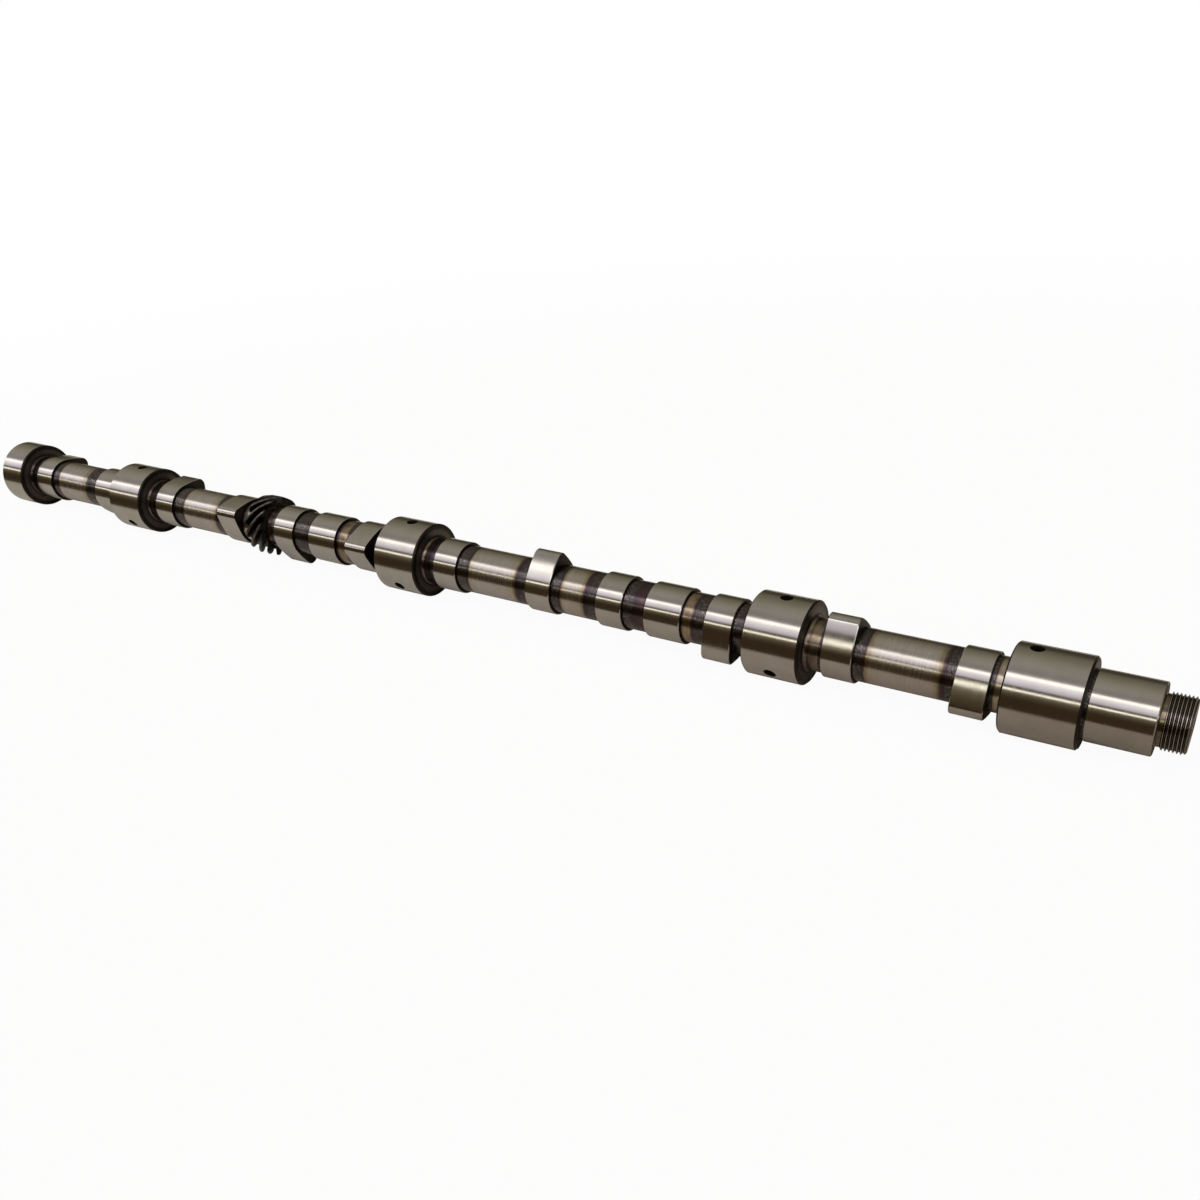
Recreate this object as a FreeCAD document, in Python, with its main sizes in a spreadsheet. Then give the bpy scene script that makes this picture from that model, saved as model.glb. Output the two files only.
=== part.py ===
import FreeCAD, Part
import math
import os
import Sketcher

# Camshaft of a six-cylinder in-line engine: one forging, turned, hobbed and ground.
# X is the shaft's axis, +X the drive end with the thread, -X the rear end.
# The origin is the centre of the front journal, and +Z is up as the shaft lies.
# A turn is an angle about the axis, counted from +Y towards +Z.

doc = FreeCAD.newDocument("camshaft")

# Driving dimensions, in millimetres and degrees.
SIZES = {
    # drive end, in order from its tip
    "thread_dia": 33.0,
    "thread_long": 13.7,
    "thread_chamfer": 1.4,
    "relief_dia": 30.2,
    "relief_long": 2.8,
    "seat_dia": 42.6,
    "seat_long": 35.5,
    "seat_chamfer": 0.6,
    "undercut_dia": 41.0,
    "undercut_long": 2.0,
    # bearing journals
    "journal_dia": 55.0,
    "front_journal_long": 44.0,
    "journal_long": 38.0,
    "rear_journal_long": 28.0,
    "front_journal_chamfer": 1.5,
    "journal_chamfer": 1.0,
    "journal_neck": 2.5,
    # shaft between the lands
    "shaft_dia": 34.0,
    # spacing of the cylinders that the lobes serve
    "front_journal_to_cylinder": 81.0,
    "bay_over_journal": 162.5,
    "bay_open": 140.0,
    "cylinder_to_journal": 82.0,
    "cylinder_to_rear_journal": 76.0,
    # valve lobes
    "lobe_base_dia": 38.0,
    "lobe_lift": 7.2,
    "lobe_nose_radius": 8.0,
    "lobe_wide": 20.0,
    "lobe_from_cylinder": 41.0,
    "exhaust_turn": 208.2,
    "intake_behind_exhaust": 105.7,
    # plain round rings between the lobes of the second and fourth cylinders
    "ring_dia": 38.0,
    "ring_wide": 27.0,
    # left-hand skew gear that drives the oil pump
    "gear_module": 2.25,
    "gear_teeth": 12.0,
    "gear_helix": 51.5,
    "gear_pressure_angle": 20.0,
    "gear_root_modules": 1.25,
    "gear_cutter_run_modules": 2.0,
    "gear_wide": 18.0,
    "gear_chamfer": 1.2,
    "gear_turn": 7.0,
    # oil holes, drilled from the journals to the axis
    "oil_hole_dia": 8.0,
    "oil_hole_turn": 90.0,
    "oil_holes_apart": 125.0,
    "oil_hole_past_axis": 3.0,
    "front_oil_hole_behind": 10.0,
    # keyway in the gear seat, open at the seat's front
    "key_wide": 8.0,
    "key_deep": 4.0,
    "key_long": 26.0,
    "key_turn": -30.0,
    # lathe centres in both ends
    "centre_pilot_dia": 5.0,
    "centre_pilot_deep": 11.0,
    "centre_mouth_dia": 12.0,
    "centre_angle": 60.0,
}

sheet = doc.addObject("Spreadsheet::Sheet", "sizes")
for row, (name, number) in enumerate(SIZES.items(), start=1):
    sheet.set(f"A{row}", name)
    sheet.set(f"B{row}", str(number))
    sheet.setAlias(f"B{row}", name)
doc.recompute()


class Size:
    """A number together with the sheet formula that gives it."""

    def __init__(self, number, formula):
        self.number = number
        self.formula = formula

    def combined(self, other, sign, number):
        return Size(number, f"({self.formula} {sign} {as_size(other).formula})")

    def __add__(self, other):
        return self.combined(other, "+", self.number + as_size(other).number)

    def __sub__(self, other):
        return self.combined(other, "-", self.number - as_size(other).number)

    def __mul__(self, other):
        return self.combined(other, "*", self.number * as_size(other).number)

    def __truediv__(self, other):
        return self.combined(other, "/", self.number / as_size(other).number)


def as_size(thing):
    return thing if isinstance(thing, Size) else Size(float(thing), f"{float(thing)}")


def size(name):
    return Size(float(sheet.get(name)), f"sizes.{name}")


def cosine(angle):
    return Size(math.cos(math.radians(angle.number)), f"cos({angle.formula})")


def tangent(angle):
    return Size(math.tan(math.radians(angle.number)), f"tan({angle.formula})")


# Two places or radii closer than this are the same one.
SAME_MM = 1e-4

# Where each land's middle lies, as a distance along X from the front journal's middle.
CYLINDERS = 6
FIRING_ORDER = (1, 5, 3, 6, 2, 4)
cylinder_x = {1: as_size(0) - size("front_journal_to_cylinder")}
for cylinder in range(2, CYLINDERS + 1):
    bay = size("bay_over_journal") if cylinder % 2 == 0 else size("bay_open")
    cylinder_x[cylinder] = cylinder_x[cylinder - 1] - bay

journal_x = {1: as_size(0)}
for journal, cylinder in ((2, 1), (3, 3), (4, 5)):
    journal_x[journal] = cylinder_x[cylinder] - size("cylinder_to_journal")
journal_x[5] = cylinder_x[6] - size("cylinder_to_rear_journal")
journal_long = {1: size("front_journal_long"), 5: size("rear_journal_long")}
for journal in (2, 3, 4):
    journal_long[journal] = size("journal_long")

ring_x = {2: cylinder_x[2], 4: cylinder_x[4]}
gear_x = cylinder_x[4] - size("bay_open") / 2

journal_front = journal_long[1] / 2
seat_rear = journal_front + size("undercut_long")
seat_front = seat_rear + size("seat_long")
thread_rear = seat_front + size("relief_long")
drive_end = thread_rear + size("thread_long")
rear_end = journal_x[5] - journal_long[5] / 2

# The gear from its module in the section square to the teeth.
pitch_radius = size("gear_module") * size("gear_teeth") / cosine(size("gear_helix")) / 2
tip_radius = pitch_radius + size("gear_module")
root_radius = pitch_radius - size("gear_module") * size("gear_root_modules")
lead = pitch_radius * (2 * math.pi) / tangent(size("gear_helix"))


def new_sketch(body, name, role):
    """A sketch on one of the body's own planes."""
    plane = next(part for part in body.Origin.OriginFeatures if part.Role == role)
    sketch = body.newObject("Sketcher::SketchObject", name)
    sketch.AttachmentSupport = (plane, "")
    sketch.MapMode = "FlatFace"
    return sketch


def turn_sketch(sketch, axis, angle):
    """Turns the sketch about one of its own axes by an angle of the sheet."""
    sketch.AttachmentOffset = FreeCAD.Placement(
        FreeCAD.Vector(), FreeCAD.Rotation(axis, angle.number)
    )
    sketch.setExpression("AttachmentOffset.Rotation.Angle", f"{angle.formula} * 1 deg")


def shift_sketch(sketch, along):
    """Moves the sketch along its normal."""
    sketch.AttachmentOffset.Base.z = along.number
    sketch.setExpression("AttachmentOffset.Base.z", f"{along.formula} * 1 mm")


def drive(sketch, kind, *where, by):
    """Adds a dimension and ties it to the sheet."""
    index = sketch.addConstraint(Sketcher.Constraint(kind, *where, by.number))
    sketch.setExpression(f"Constraints[{index}]", by.formula)


def polygon(sketch, corners):
    """A closed outline of straight lines, each corner held by its two coordinates."""
    points = [FreeCAD.Vector(x.number, y.number, 0) for x, y in corners]
    lines = [Part.LineSegment(a, b) for a, b in zip(points, points[1:] + points[:1])]
    first = sketch.addGeometry(lines, False)[0]
    count = len(corners)
    joins = []
    for step in range(count):
        after = first + (step + 1) % count
        joins.append(Sketcher.Constraint("Coincident", first + step, 2, after, 1))
    sketch.addConstraint(joins)
    for step, (x, y) in enumerate(corners):
        drive(sketch, "DistanceX", -1, 1, first + step, 1, by=x)
        drive(sketch, "DistanceY", -1, 1, first + step, 1, by=y)


def add_feature(body, kind, name, profile, **settings):
    """A feature of the body on a sketch; a Size among the settings is tied to the sheet."""
    feature = body.newObject(kind, name)
    feature.Profile = profile
    for key, setting in settings.items():
        if isinstance(setting, Size):
            feature.setExpression(key, setting.formula)
            setting = setting.number
        setattr(feature, key, setting)
    profile.Visibility = False
    return feature


def ring_edges(shape, places):
    """Names of the shape's full circles about X at the given (x, radius) places."""
    names = []
    for number, edge in enumerate(shape.Edges, start=1):
        if not isinstance(edge.Curve, Part.Circle):
            continue
        centre, radius = edge.Curve.Center, edge.Curve.Radius
        for x, wanted in places:
            if max(abs(centre.x - x.number), abs(radius - wanted.number)) < SAME_MM:
                names.append(f"Edge{number}")
    return names


def chamfer(body, name, places, leg):
    """A chamfer on the circles at the given places; in an inner corner it adds a cone."""
    doc.recompute()
    base = body.Tip
    feature = body.newObject("PartDesign::Chamfer", name)
    feature.Base = (base, ring_edges(base.Shape, places))
    feature.Size = leg.number
    feature.setExpression("Size", leg.formula)
    return feature


# Turned blank: one stepped section of lands, each (front face, rear face, radius).
blank_body = doc.addObject("PartDesign::Body", "turned_blank")
lands = [
    (drive_end, thread_rear, size("thread_dia") / 2),
    (thread_rear, seat_front, size("relief_dia") / 2),
    (seat_front, seat_rear, size("seat_dia") / 2),
    (seat_rear, journal_front, size("undercut_dia") / 2),
]


def add_land(middle, long, radius):
    """A land on the shaft, with plain shaft between it and the land before."""
    front = middle + long / 2
    before = lands[-1][1]
    if before.number - front.number > SAME_MM:
        lands.append((before, front, size("shaft_dia") / 2))
    lands.append((front, middle - long / 2, radius))


journal_radius = size("journal_dia") / 2
ring_radius = size("ring_dia") / 2
add_land(journal_x[1], journal_long[1], journal_radius)
add_land(journal_x[2], journal_long[2], journal_radius)
add_land(ring_x[2], size("ring_wide"), ring_radius)
add_land(journal_x[3], journal_long[3], journal_radius)
add_land(ring_x[4], size("ring_wide"), ring_radius)
add_land(gear_x, size("gear_wide"), tip_radius)
add_land(journal_x[4], journal_long[4], journal_radius)
add_land(journal_x[5], journal_long[5], journal_radius)

section = [(drive_end, as_size(0))]
for front, rear, radius in lands:
    section.append((front, radius))
    section.append((rear, radius))
section.append((rear_end, as_size(0)))
blank_sketch = new_sketch(blank_body, "turned_section", "XZ_Plane")
polygon(blank_sketch, section)
add_feature(
    blank_body,
    "PartDesign::Revolution",
    "turned_lands",
    blank_sketch,
    ReferenceAxis=(blank_sketch, ["H_Axis"]),
    Angle=360.0,
)

# Edges of the lands: a short cone where a journal meets the shaft, chamfers on the rims.
shaft_radius = size("shaft_dia") / 2
journal_faces = [journal_x[1] - journal_long[1] / 2, journal_x[5] + journal_long[5] / 2]
for journal in (2, 3, 4):
    journal_faces.append(journal_x[journal] + journal_long[journal] / 2)
    journal_faces.append(journal_x[journal] - journal_long[journal] / 2)
chamfer(
    blank_body,
    "journal_necks",
    [(face, shaft_radius) for face in journal_faces],
    size("journal_neck"),
)
chamfer(
    blank_body,
    "journal_rims",
    [(face, journal_radius) for face in journal_faces + [rear_end]],
    size("journal_chamfer"),
)
chamfer(
    blank_body,
    "front_journal_rim",
    [(journal_front, journal_radius)],
    size("front_journal_chamfer"),
)
chamfer(
    blank_body,
    "seat_rim",
    [(seat_front, size("seat_dia") / 2)],
    size("seat_chamfer"),
)
chamfer(
    blank_body,
    "thread_tip",
    [(drive_end, size("thread_dia") / 2)],
    size("thread_chamfer"),
)
gear_front = gear_x + size("gear_wide") / 2
gear_rear = gear_x - size("gear_wide") / 2
chamfer(
    blank_body,
    "gear_rims",
    [(gear_front, tip_radius), (gear_rear, tip_radius)],
    size("gear_chamfer"),
)


# Lathe centres: a cone with a pilot behind it, from each end face inwards.
def lathe_centre(name, face, inwards):
    mouth = size("centre_mouth_dia") / 2
    pilot = size("centre_pilot_dia") / 2
    cone_deep = (mouth - pilot) / tangent(size("centre_angle") / 2)
    sketch = new_sketch(blank_body, f"{name}_section", "XZ_Plane")
    zero = as_size(0)
    bottom = face + size("centre_pilot_deep") * inwards
    shoulder = face + cone_deep * inwards
    polygon(
        sketch,
        [(face, zero), (face, mouth), (shoulder, pilot), (bottom, pilot), (bottom, zero)],
    )
    return add_feature(
        blank_body,
        "PartDesign::Groove",
        name,
        sketch,
        ReferenceAxis=(sketch, ["H_Axis"]),
        Angle=360.0,
    )


lathe_centre("drive_end_centre", drive_end, -1)
lathe_centre("rear_end_centre", rear_end, 1)

# Skew gear: the gap between two teeth is a helical sweep that runs past both faces of its
# land. Along the axis it is half a tooth pitch wide on the pitch circle.
flank_slope = tangent(size("gear_pressure_angle")) / (
    tangent(size("gear_helix")) * cosine(size("gear_helix"))
)
quarter_pitch = lead / size("gear_teeth") / 4
gap_top = tip_radius + size("gear_module") / 2
half_at_top = quarter_pitch + (gap_top - pitch_radius) * flank_slope
half_at_root = quarter_pitch - (pitch_radius - root_radius) * flank_slope
overrun = size("gear_module") * size("gear_cutter_run_modules")
swept = size("gear_wide") + overrun * 2
gap_x = gear_rear - overrun
gap_body = doc.addObject("PartDesign::Body", "gear_gap")
gap_sketch = new_sketch(gap_body, "gear_gap_section", "XZ_Plane")
polygon(
    gap_sketch,
    [
        (gap_x - half_at_root, root_radius),
        (gap_x + half_at_root, root_radius),
        (gap_x + half_at_top, gap_top),
        (gap_x - half_at_top, gap_top),
    ],
)
half_tooth = as_size(180) / size("gear_teeth")
gap_turn = size("gear_turn") + half_tooth + swept / 2 / lead * 360
turn_sketch(gap_sketch, FreeCAD.Vector(1, 0, 0), gap_turn - 90)
add_feature(
    gap_body,
    "PartDesign::AdditiveHelix",
    "gear_gap_sweep",
    gap_sketch,
    ReferenceAxis=(gap_sketch, ["H_Axis"]),
    Mode="pitch-height-angle",
    Pitch=lead,
    Height=swept,
    LeftHanded=True,
)
doc.recompute()

# The same gap set round the axis, one for each tooth, and cut from the blank together.
teeth = round(size("gear_teeth").number)
x_axis = FreeCAD.Vector(1, 0, 0)
gear_gaps = doc.addObject("Part::Feature", "gear_gaps")
gear_gaps.Shape = Part.makeCompound(
    [gap_body.Shape.rotated(FreeCAD.Vector(), x_axis, 360 / teeth * tooth) for tooth in range(teeth)]
)
hobbed = doc.addObject("Part::Cut", "hobbed_blank")
hobbed.Base = blank_body
hobbed.Tool = gear_gaps
doc.recompute()

# The lobes, holes and keyway are worked on the hobbed blank.
body = doc.addObject("PartDesign::Body", "camshaft")
body.Label = "camshaft"
body.BaseFeature = hobbed

# Valve lobes: a base circle and a nose circle joined by two straight tangent flanks.
base_radius = size("lobe_base_dia") / 2
nose_radius = size("lobe_nose_radius")
nose_centre = base_radius + size("lobe_lift") - nose_radius


def lobe(name, middle, turn):
    sketch = new_sketch(body, f"{name}_outline", "YZ_Plane")
    turn_sketch(sketch, FreeCAD.Vector(0, 0, 1), turn)
    shift_sketch(sketch, middle)
    lean = math.acos((base_radius.number - nose_radius.number) / nose_centre.number)
    up = FreeCAD.Vector(0, 0, 1)
    nose_at = FreeCAD.Vector(nose_centre.number, 0, 0)
    base_circle = Part.Circle(FreeCAD.Vector(), up, base_radius.number)
    nose_circle = Part.Circle(nose_at, up, nose_radius.number)
    normal = FreeCAD.Vector(math.cos(lean), math.sin(lean), 0)
    mirrored = FreeCAD.Vector(normal.x, -normal.y, 0)
    flanks = [
        Part.LineSegment(side * base_radius.number, nose_at + side * nose_radius.number)
        for side in (normal, mirrored)
    ]
    base_arc = Part.ArcOfCircle(base_circle, lean, 2 * math.pi - lean)
    nose_arc = Part.ArcOfCircle(nose_circle, -lean, lean)
    sketch.addGeometry([base_arc, nose_arc] + flanks, False)
    sketch.addConstraint(
        [
            Sketcher.Constraint("Coincident", 0, 3, -1, 1),
            Sketcher.Constraint("PointOnObject", 1, 3, -1),
            Sketcher.Constraint("Tangent", 0, 1, 2, 1),
            Sketcher.Constraint("Tangent", 2, 2, 1, 2),
            Sketcher.Constraint("Tangent", 1, 1, 3, 2),
            Sketcher.Constraint("Tangent", 3, 1, 0, 2),
        ]
    )
    drive(sketch, "Radius", 0, by=base_radius)
    drive(sketch, "Radius", 1, by=nose_radius)
    drive(sketch, "DistanceX", -1, 1, 1, 3, by=nose_centre)
    return add_feature(
        body,
        "PartDesign::Pad",
        name,
        sketch,
        SideType="Symmetric",
        Length=size("lobe_wide"),
    )


# Odd cylinders have their exhaust lobe in front, even ones their intake lobe.
for cylinder in range(1, CYLINDERS + 1):
    fired_before = FIRING_ORDER.index(cylinder)
    exhaust = size("exhaust_turn") - fired_before * 360 / CYLINDERS
    intake = exhaust - size("intake_behind_exhaust")
    in_front = cylinder_x[cylinder] + size("lobe_from_cylinder")
    behind = cylinder_x[cylinder] - size("lobe_from_cylinder")
    exhaust_x, intake_x = (in_front, behind) if cylinder % 2 else (behind, in_front)
    lobe(f"exhaust_lobe_{cylinder}", exhaust_x, exhaust)
    lobe(f"intake_lobe_{cylinder}", intake_x, intake)


# Oil holes: drilled square to the axis and a little past it, so that two of them meet.
def oil_holes(name, turn, middles):
    sketch = new_sketch(body, f"{name}_marks", "XY_Plane")
    turn_sketch(sketch, FreeCAD.Vector(1, 0, 0), turn - 90)
    radius = size("oil_hole_dia") / 2
    for index, middle in enumerate(middles):
        centre = FreeCAD.Vector(middle.number, 0, 0)
        sketch.addGeometry(Part.Circle(centre, FreeCAD.Vector(0, 0, 1), radius.number))
        sketch.addConstraint(Sketcher.Constraint("PointOnObject", index, 3, -1))
        drive(sketch, "DistanceX", -1, 1, index, 3, by=middle)
        drive(sketch, "Radius", index, by=radius)
    return add_feature(
        body,
        "PartDesign::Pocket",
        name,
        sketch,
        SideType="Two sides",
        Type="Length",
        Length=size("journal_dia"),
        Type2="Length",
        Length2=size("oil_hole_past_axis"),
        Reversed=True,
    )


first_turn = size("oil_hole_turn")
front_hole_x = journal_x[1] - size("front_oil_hole_behind")
inner_journals = [journal_x[journal] for journal in (2, 3, 4)]
oil_holes("oil_holes_up", first_turn, [front_hole_x] + inner_journals)
oil_holes("oil_holes_near", first_turn + size("oil_holes_apart"), inner_journals)
oil_holes("oil_hole_far", first_turn - size("oil_holes_apart"), [front_hole_x])

# Keyway: a straight slot cut from the seat's front face, on the far side.
key_sketch = new_sketch(body, "keyway_section", "YZ_Plane")
turn_sketch(key_sketch, FreeCAD.Vector(0, 0, 1), size("key_turn"))
shift_sketch(key_sketch, seat_front)
key_floor = size("seat_dia") / 2 - size("key_deep")
key_roof = size("seat_dia") / 2 + size("key_deep")
key_half = size("key_wide") / 2
polygon(
    key_sketch,
    [
        (key_floor, as_size(0) - key_half),
        (key_roof, as_size(0) - key_half),
        (key_roof, key_half),
        (key_floor, key_half),
    ],
)
add_feature(body, "PartDesign::Pocket", "keyway", key_sketch, Length=size("key_long"))

doc.recompute()

# The shaft is written only when every feature is sound and it is one valid solid.
for thing in doc.Objects:
    if "Invalid" in thing.State or "Error" in thing.State:
        raise RuntimeError(f"{thing.Name} was not made: {thing.State}")
shaft = body.Shape
if shaft.isNull() or not shaft.isValid() or len(shaft.Solids) != 1:
    raise RuntimeError("the camshaft is not one valid solid")

os.makedirs("parts", exist_ok=True)
shaft.exportStep(os.path.join("parts", f"{body.Label}.step"))
print(f"{body.Label}: {shaft.Volume / 1000:.1f} cm3, {len(shaft.Faces)} faces")
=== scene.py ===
import math

import bmesh
import bpy
from mathutils import Matrix, Vector


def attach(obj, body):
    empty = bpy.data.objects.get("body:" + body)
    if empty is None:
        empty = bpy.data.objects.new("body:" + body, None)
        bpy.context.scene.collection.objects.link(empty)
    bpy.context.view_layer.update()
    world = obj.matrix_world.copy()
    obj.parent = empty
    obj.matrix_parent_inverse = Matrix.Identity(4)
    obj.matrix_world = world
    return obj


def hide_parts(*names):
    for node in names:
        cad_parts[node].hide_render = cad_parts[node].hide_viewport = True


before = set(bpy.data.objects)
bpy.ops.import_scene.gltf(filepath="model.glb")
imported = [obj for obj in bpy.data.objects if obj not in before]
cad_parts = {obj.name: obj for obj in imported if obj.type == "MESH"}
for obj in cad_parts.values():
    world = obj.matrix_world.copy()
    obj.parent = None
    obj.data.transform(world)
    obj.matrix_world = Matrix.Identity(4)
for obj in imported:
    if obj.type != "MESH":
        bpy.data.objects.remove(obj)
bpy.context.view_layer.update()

# The turned shaft
# One steel forging, turned between lathe centres, so it is round but for the lobes and the gear:
# five journals, two plain rings, the timing gear's seat and the threaded end. The journals, rings
# and seat are then ground bright. Sizes are in millimetres from the front journal's middle.

shaft_radius = 17.0
journal_radius = 27.5
ring_radius = 19.0
neck_fillet = 2.5
facets_round = 192
same_place = 0.0005
journals = [(-938.5, -910.5), (-787.0, -749.0), (-484.5, -446.5), (-182.0, -144.0)]
rings = [(-559.5, -532.5), (-257.0, -230.0)]

# Each lobe: middle along X, and turn of its nose from +Y towards +Z in degrees.
lobes = [(-889.5, 28.2), (-807.5, -77.5), (-727.0, 42.5), (-645.0, 148.2), (-587.0, -91.8),
         (-505.0, 162.5), (-424.5, -17.5), (-342.5, 88.2), (-284.5, -31.8), (-202.5, 222.5),
         (-122.0, 102.5), (-40.0, 208.2)]
lobe_width = 20.0

# The lobes were hardened by heat, which left the shaft beside each of them black with oxide, and
# farther off purple, brown, golden and straw. The dark stations from 22 to 24, in the grinding
# wheel's undercut, are painted shade in that groove. Here (x, tint) runs along the bare shaft,
# with 0 for black, 1 for grey oxide, 2 purple, 3 brown, 4 golden, 5 pale straw and 6 for satin
# steel.
tints_and_groove_shade = [
    (-910.5, 1), (-909.5, 2.4), (-906, 2.6), (-905, 1.2), (-899.5, 0.5),
    (-879.5, 0.4), (-877, 0.9), (-871.5, 1.8), (-870.5, 3), (-869, 5.6), (-866, 6),
    (-842, 6), (-838, 5), (-833, 4.2), (-832, 2), (-831, 0.3), (-817.5, 0),
    (-797.5, 0.5), (-792, 3), (-789.5, 4), (-787, 1),
    (-749, 1), (-748, 3.0), (-743, 3.0), (-741.5, 2.6), (-740.5, 1), (-737, 0.5),
    (-717, 0.2), (-712, 0.7), (-706, 1.4), (-704.5, 2.6), (-703.5, 5), (-700, 6),
    (-675, 6), (-668, 5), (-665, 3), (-663, 1), (-655, 0.5),
    (-635, 0.5), (-634, 2), (-633, 5.5), (-627, 5.5), (-625, 4),
    (-607, 1.2), (-606, 3.3), (-603.5, 3.3), (-602.5, 2.2), (-601, 1.5), (-597, 0.5),
    (-577, 0.5), (-574, 1), (-563, 1.3), (-561, 1.8), (-559.5, 2),
    (-532.5, 1.4), (-530, 2.5), (-528.5, 3.4), (-522.5, 3.5), (-521, 2.5), (-519, 1), (-515, 0.5),
    (-495, 0.5), (-490, 2), (-488, 4), (-484.5, 1),
    (-446.5, 1), (-445.7, 3.1), (-441.5, 3.1), (-440.5, 2.2), (-437.5, 1.8), (-434.5, 0.5),
    (-414.5, 0.3), (-412, 0.8), (-405.5, 1.2), (-404, 2.2), (-402.5, 5), (-399, 6),
    (-372, 6), (-365, 5), (-363, 3.3), (-361, 2), (-358.5, 1.4), (-352.5, 0.7),
    (-332.5, 0.3), (-330, 0.8), (-326, 1), (-324.5, 2.5), (-323, 4), (-321, 5.7),
    (-312, 5.5), (-308, 4.8), (-306, 3.5), (-304.5, 2.2), (-302, 1.5), (-294.5, 0.8),
    (-274.5, 0.2), (-272, 0.6), (-267, 1.2), (-265, 2.2), (-259, 2.5), (-257, 1.5),
    (-230, 0.8), (-229, 2.5), (-228, 3.4), (-223, 3.5), (-221.5, 2.5), (-220, 1.2), (-212.5, 0.7),
    (-192.5, 0.3), (-190, 1.2), (-184, 1.5), (-182, 1),
    (-144, 1), (-143.2, 3.3), (-136, 3.3), (-134.5, 3.3), (-133.5, 2), (-132, 1),
    (-112, 0.3), (-110, 0.9), (-106, 1.2), (-104.5, 3), (-103.5, 4), (-101, 5.2), (-95, 6),
    (-66, 6), (-61, 5), (-59.5, 4), (-57.5, 2.7), (-56, 2), (-54.5, 1), (-50, 0.7),
    (-30, 0.5), (-28, 1), (-27, 3.5), (-26, 5), (-23, 5), (-22, 1.5),
    # painted shade: the undercut's groove, from 22 to 24, is darkened to 0.4
    (22, 0.4), (24, 0.4), (24.2, 6), (59.5, 6), (59.9, 3.4),
]


def tint_at(x):
    """The tint at x, heat tint or painted groove shade, straight between the stations of the table.
    """
    for (rear, behind), (front, before) in zip(tints_and_groove_shade, tints_and_groove_shade[1:]):
        if rear <= x <= front:
            return behind + (before - behind) * (x - rear) / (front - rear)
    return tints_and_groove_shade[0][1] if x < tints_and_groove_shade[0][0] else tints_and_groove_shade[-1][1]


outline = []  # (x, radius) of the turned outline, from the rear centre to the front centre


def lathe_centre(end_x, inwards):
    """The centre drilled in an end of the shaft: a pilot, then a mouth of 60 degrees."""
    mouth = 3.5 / math.tan(math.radians(30))
    return [(end_x + inwards * 11.0, 0.0), (end_x + inwards * 11.0, 2.5),
            (end_x + inwards * mouth, 2.5), (end_x, 6.0)]


def front_neck(face_x):
    """The fillet from a journal's front face down to the shaft."""
    return [(face_x + neck_fillet * (1 - math.cos(math.radians(a))),
             shaft_radius + neck_fillet * (1 - math.sin(math.radians(a))))
            for a in range(0, 91, 15)] + [(face_x + neck_fillet + 0.4, shaft_radius)]


def rear_neck(face_x):
    """The fillet from the shaft up to a journal's rear face."""
    return [(2 * face_x - x, radius) for x, radius in reversed(front_neck(face_x))]


features = []  # (rear x, points of the outline), each standing on the plain shaft
for rear, front in journals[1:]:
    features.append((rear, rear_neck(rear) + [
        (rear, journal_radius - 1), (rear + 1, journal_radius),
        (rear + 13, journal_radius), (front - 13, journal_radius),
        (front - 1, journal_radius), (front, journal_radius - 1)] + front_neck(front)))
for rear, front in rings:
    features.append((rear, [
        (rear, shaft_radius), (rear, ring_radius - 0.5), (rear + 0.5, ring_radius),
        (front - 0.5, ring_radius), (front, ring_radius - 0.5), (front, shaft_radius)]))
rear_end, front_journal_rear, drive_end = -938.5, -22.0, 76.0
for x, _ in tints_and_groove_shade:
    by_a_journal = any(rear - 3 < x < front + 3 for rear, front in journals)
    on_a_ring = any(rear - 0.1 < x < front + 0.1 for rear, front in rings)
    if x < front_journal_rear - 9 and not by_a_journal and not on_a_ring:
        features.append((x, [(x, shaft_radius)]))

outline += lathe_centre(rear_end, 1)
outline += [(rear_end, 26.5), (rear_end + 1, 27.5), (-911.5, 27.5), (-910.5, 26.5)]
outline += front_neck(-910.5)
for x, points in sorted(features):
    outline += points
outline += [(x, shaft_radius) for x in (-30.0, -28.0, -27.0, -26.0)]
outline += rear_neck(front_journal_rear)
outline += [(-22.0, 26.5), (-21.0, 27.5), (-15.5, 27.5), (-4.5, 27.5), (20.8, 27.5), (22.0, 26.3)]

# The timing gear's seat, behind it the grinding wheel's undercut and before it the relief of the
# thread. The nut's thread is M33 x 2: its turns are cut below, where the stations are close.
thread_rear, thread_pitch, thread_radius, thread_depth = 62.3, 2.0, 16.5, 1.22
seat_radius, relief_radius, thread_tip = 21.3, 15.1, 1.4
crest_flat, thread_flank = 0.12, 0.68  # shares of the way from a crest to a root
thread_softness, thread_stations = 0.35, 112
outline += [(22.0, 20.5), (23.0, 20.5), (24.0, 20.5), (24.0, 21.1), (24.2, seat_radius)]
outline += [(58.9, seat_radius), (59.5, 20.7), (59.5, 15.5), (59.9, relief_radius)]
outline += [(thread_rear - 0.02, relief_radius)]
outline += [(thread_rear + (drive_end - thread_rear) * i / thread_stations, thread_radius)
            for i in range(thread_stations + 1)]
outline += list(reversed(lathe_centre(drive_end, -1)))


def thread_at(x, turn):
    """Radius of the right-hand thread at x and at a turn in degrees, less at its chamfered tip."""
    phase = (x / thread_pitch - turn / 360) % 1.0
    from_crest = min(phase, 1 - phase) * 2
    cut = min(max((from_crest - crest_flat) / thread_flank, 0.0), 1.0)
    rounded = cut * cut * (3 - 2 * cut) * thread_softness + cut * (1 - thread_softness)
    tip = thread_radius - max(0.0, x - (drive_end - thread_tip))
    return min(thread_radius - thread_depth * rounded, tip)


def hex_colour(text):
    """An sRGB hex colour as the linear colour that the shaders take."""
    parts = [int(text[i:i + 2], 16) / 255 for i in (1, 3, 5)]
    return [c / 12.92 if c <= 0.04045 else ((c + 0.055) / 1.055) ** 2.4 for c in parts] + [1.0]


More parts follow.
